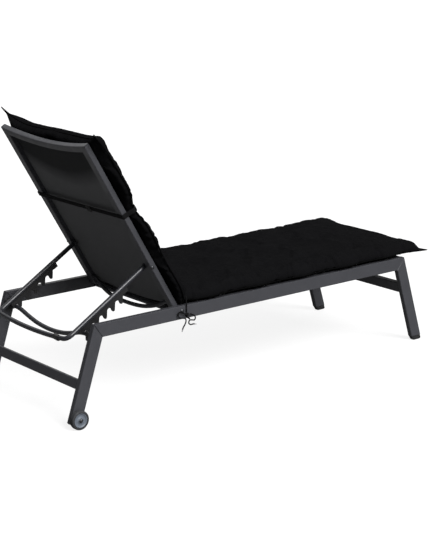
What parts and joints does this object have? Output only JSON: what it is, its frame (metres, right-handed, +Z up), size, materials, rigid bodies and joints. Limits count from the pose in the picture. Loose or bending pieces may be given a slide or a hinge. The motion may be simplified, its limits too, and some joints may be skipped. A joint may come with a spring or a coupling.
{
  "type": "reclining sun lounger",
  "caption": "Sun lounger with a slanted-leg tube frame, slung seat, reclining backrest held by a toothed bail, rear wheels and a tied-on pad.",
  "frame": {"origin": "on the floor, at the centre of the bounding box in X and Y", "axes": "+X towards the foot end, +Y towards the user's left, +Z up"},
  "size_m": [1.7772, 0.69, 1.0506],
  "materials": {
    "frame_paint": "fine-textured powder coat, anthracite",
    "rack_paint": "satin black powder coat",
    "sling": "woven mesh of coated yarn, matt grey",
    "pad_fabric": "plain weave cover, matt black",
    "strap": "braided cord and elastic webbing, black",
    "cap_plastic": "moulded, matt black",
    "wheel_disc": "moulded, blue-grey",
    "tyre": "smooth tread, matt",
    "bolt": "dark zinc-plated"
  },
  "bodies": {
    "frame": {"rail_right": "frame_paint", "rail_left": "frame_paint", "rear_leg_right": "frame_paint", "rear_leg_left": "frame_paint", "front_leg_right": "frame_paint", "front_leg_left": "frame_paint", "rear_cross_bar": "frame_paint", "front_cross_bar": "frame_paint", "foot_end_bar": "frame_paint", "hip_cross_bar": "frame_paint", "hook_bar": "frame_paint", "hook_bar_bracket_right": "cap_plastic", "hook_bar_bracket_left": "cap_plastic", "seat_sling": "sling", "front_foot_right": "cap_plastic", "front_foot_left": "cap_plastic", "rear_leg_cap_right": "cap_plastic", "rear_leg_cap_left": "cap_plastic", "axle_bolt_right": "bolt", "axle_bolt_left": "bolt", "axle_washer_right": "bolt", "axle_washer_left": "bolt", "hinge_bolt_right": "bolt", "hinge_bolt_left": "bolt", "hinge_spacer_right": "bolt", "hinge_spacer_left": "bolt", "seat_pad": "pad_fabric", "tie_knot_right": "strap", "tie_outer_strand_right": "strap", "tie_inner_strand_right": "strap", "tie_rear_bow_right": "strap", "tie_front_bow_right": "strap"},
    "backrest": {"backrest_tube_right": "frame_paint", "backrest_tube_left": "frame_paint", "backrest_top_bar": "frame_paint", "backrest_bottom_bar": "frame_paint", "back_sling": "sling", "bail_pivot_bolt_right": "bolt", "bail_pivot_bolt_left": "bolt", "bail_pivot_washer_right": "bolt", "bail_pivot_washer_left": "bolt", "back_pad": "pad_fabric", "pad_strap": "strap", "strap_slider": "cap_plastic"},
    "bail": {"bail_leg_right": "frame_paint", "bail_leg_left": "frame_paint", "bail_cross_tube": "frame_paint", "bail_collar": "rack_paint", "hook_rack_right": "rack_paint", "hook_rack_left": "rack_paint"},
    "wheel_right": {"tyre_right": "tyre", "wheel_disc_right": "wheel_disc"},
    "wheel_left": {"tyre_left": "tyre", "wheel_disc_left": "wheel_disc"}
  },
  "joints": [
    {"name": "backrest_recline", "type": "hinge", "parent": "frame", "child": "backrest", "pos_m": [-0.37444, 0, 0.35], "axis": [0, 1, 0], "range_deg": [-56, 0]},
    {"name": "bail_swing", "type": "hinge", "parent": "backrest", "child": "bail", "pos_m": [-0.48248, 0, 0.52933], "axis": [0, 1, 0], "range_deg": [0, 85.7]},
    {"name": "wheel_right_spin", "type": "hinge", "parent": "frame", "child": "wheel_right", "pos_m": [-0.85257, -0.329, 0.036], "axis": [0, 1, 0], "continuous": true},
    {"name": "wheel_left_spin", "type": "hinge", "parent": "frame", "child": "wheel_left", "pos_m": [-0.85257, 0.329, 0.036], "axis": [0, 1, 0], "continuous": true}
  ],
  "couplings": [
    {"joint": "bail_swing", "follows": "backrest_recline", "ratio": -1.5288}
  ]
}
